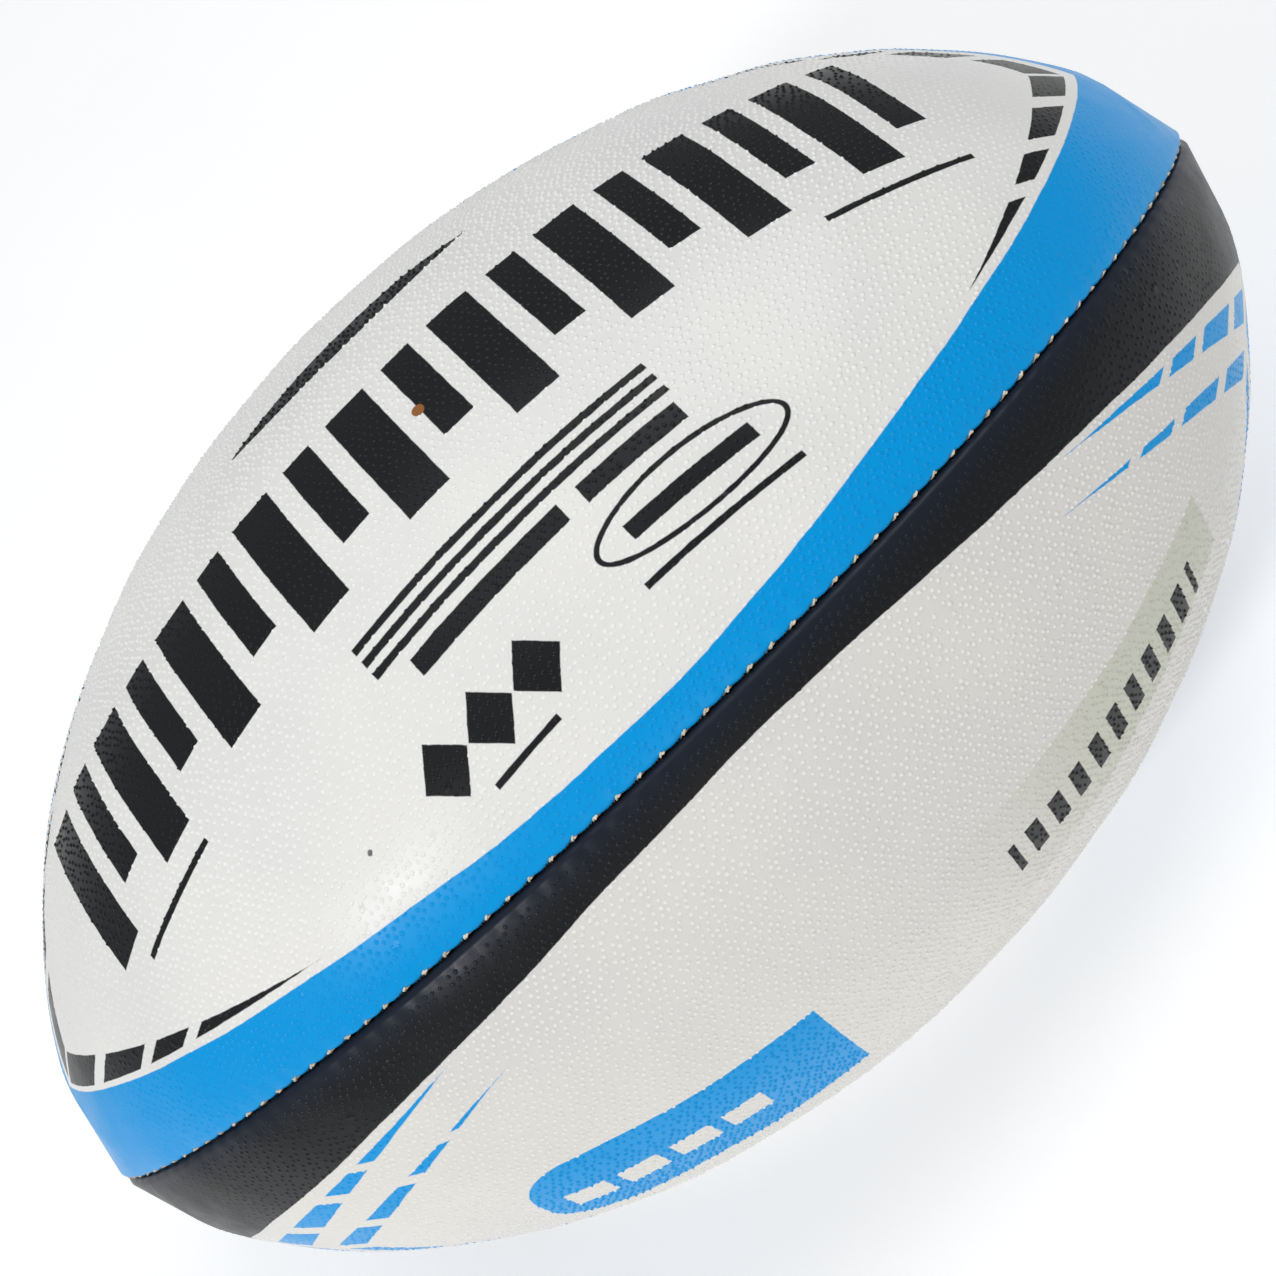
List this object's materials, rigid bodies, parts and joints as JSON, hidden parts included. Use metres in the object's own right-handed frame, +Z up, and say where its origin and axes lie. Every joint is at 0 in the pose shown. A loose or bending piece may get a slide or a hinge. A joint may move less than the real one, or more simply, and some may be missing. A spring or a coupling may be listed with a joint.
{
  "type": "rugby ball",
  "caption": "Full-size rugby ball with textured rubber panels hand-sewn along its seams over cloth plies and an air bladder with a valve.",
  "frame": {"origin": "centre of the ball", "axes": "+X along the long axis from nose to nose, +Z up through the middle of the top panel, +Y out through the valve in the middle of the back panel"},
  "size_m": [0.3, 0.185, 0.185],
  "materials": {
    "cover_blue_border": "satin, raised grip dots, printed blue border",
    "cover_black_border": "satin, raised grip dots, printed black border",
    "backing_cloth": "plain woven cotton and polyester, latex bonded",
    "waxed_thread": "twisted and waxed",
    "bladder_rubber": "matte, dusted",
    "patch_cloth": "rubberised cloth",
    "valve_rubber": "moulded, matte",
    "core_rubber": "moulded natural rubber"
  },
  "bodies": {
    "ball": {"cover_panel_top": "cover_blue_border", "cover_panel_front": "cover_black_border", "cover_panel_bottom": "cover_blue_border", "cover_panel_back": "cover_black_border", "outer_ply_top": "backing_cloth", "outer_ply_front": "backing_cloth", "outer_ply_bottom": "backing_cloth", "outer_ply_back": "backing_cloth", "middle_ply_top": "backing_cloth", "middle_ply_front": "backing_cloth", "middle_ply_bottom": "backing_cloth", "middle_ply_back": "backing_cloth", "inner_ply_top": "backing_cloth", "inner_ply_front": "backing_cloth", "inner_ply_bottom": "backing_cloth", "inner_ply_back": "backing_cloth", "seam_thread_top_front": "waxed_thread", "seam_thread_front_bottom": "waxed_thread", "seam_thread_bottom_back": "waxed_thread", "seam_thread_back_top": "waxed_thread", "bladder": "bladder_rubber", "valve_reinforcing_patch": "patch_cloth", "valve_housing": "valve_rubber"},
    "valve_plug": {"valve_core": "core_rubber"}
  },
  "joints": [
    {"name": "valve_core_pull", "type": "slide", "parent": "ball", "child": "valve_plug", "axis": [0, 1, 0], "range_m": [0, 0.02]}
  ]
}
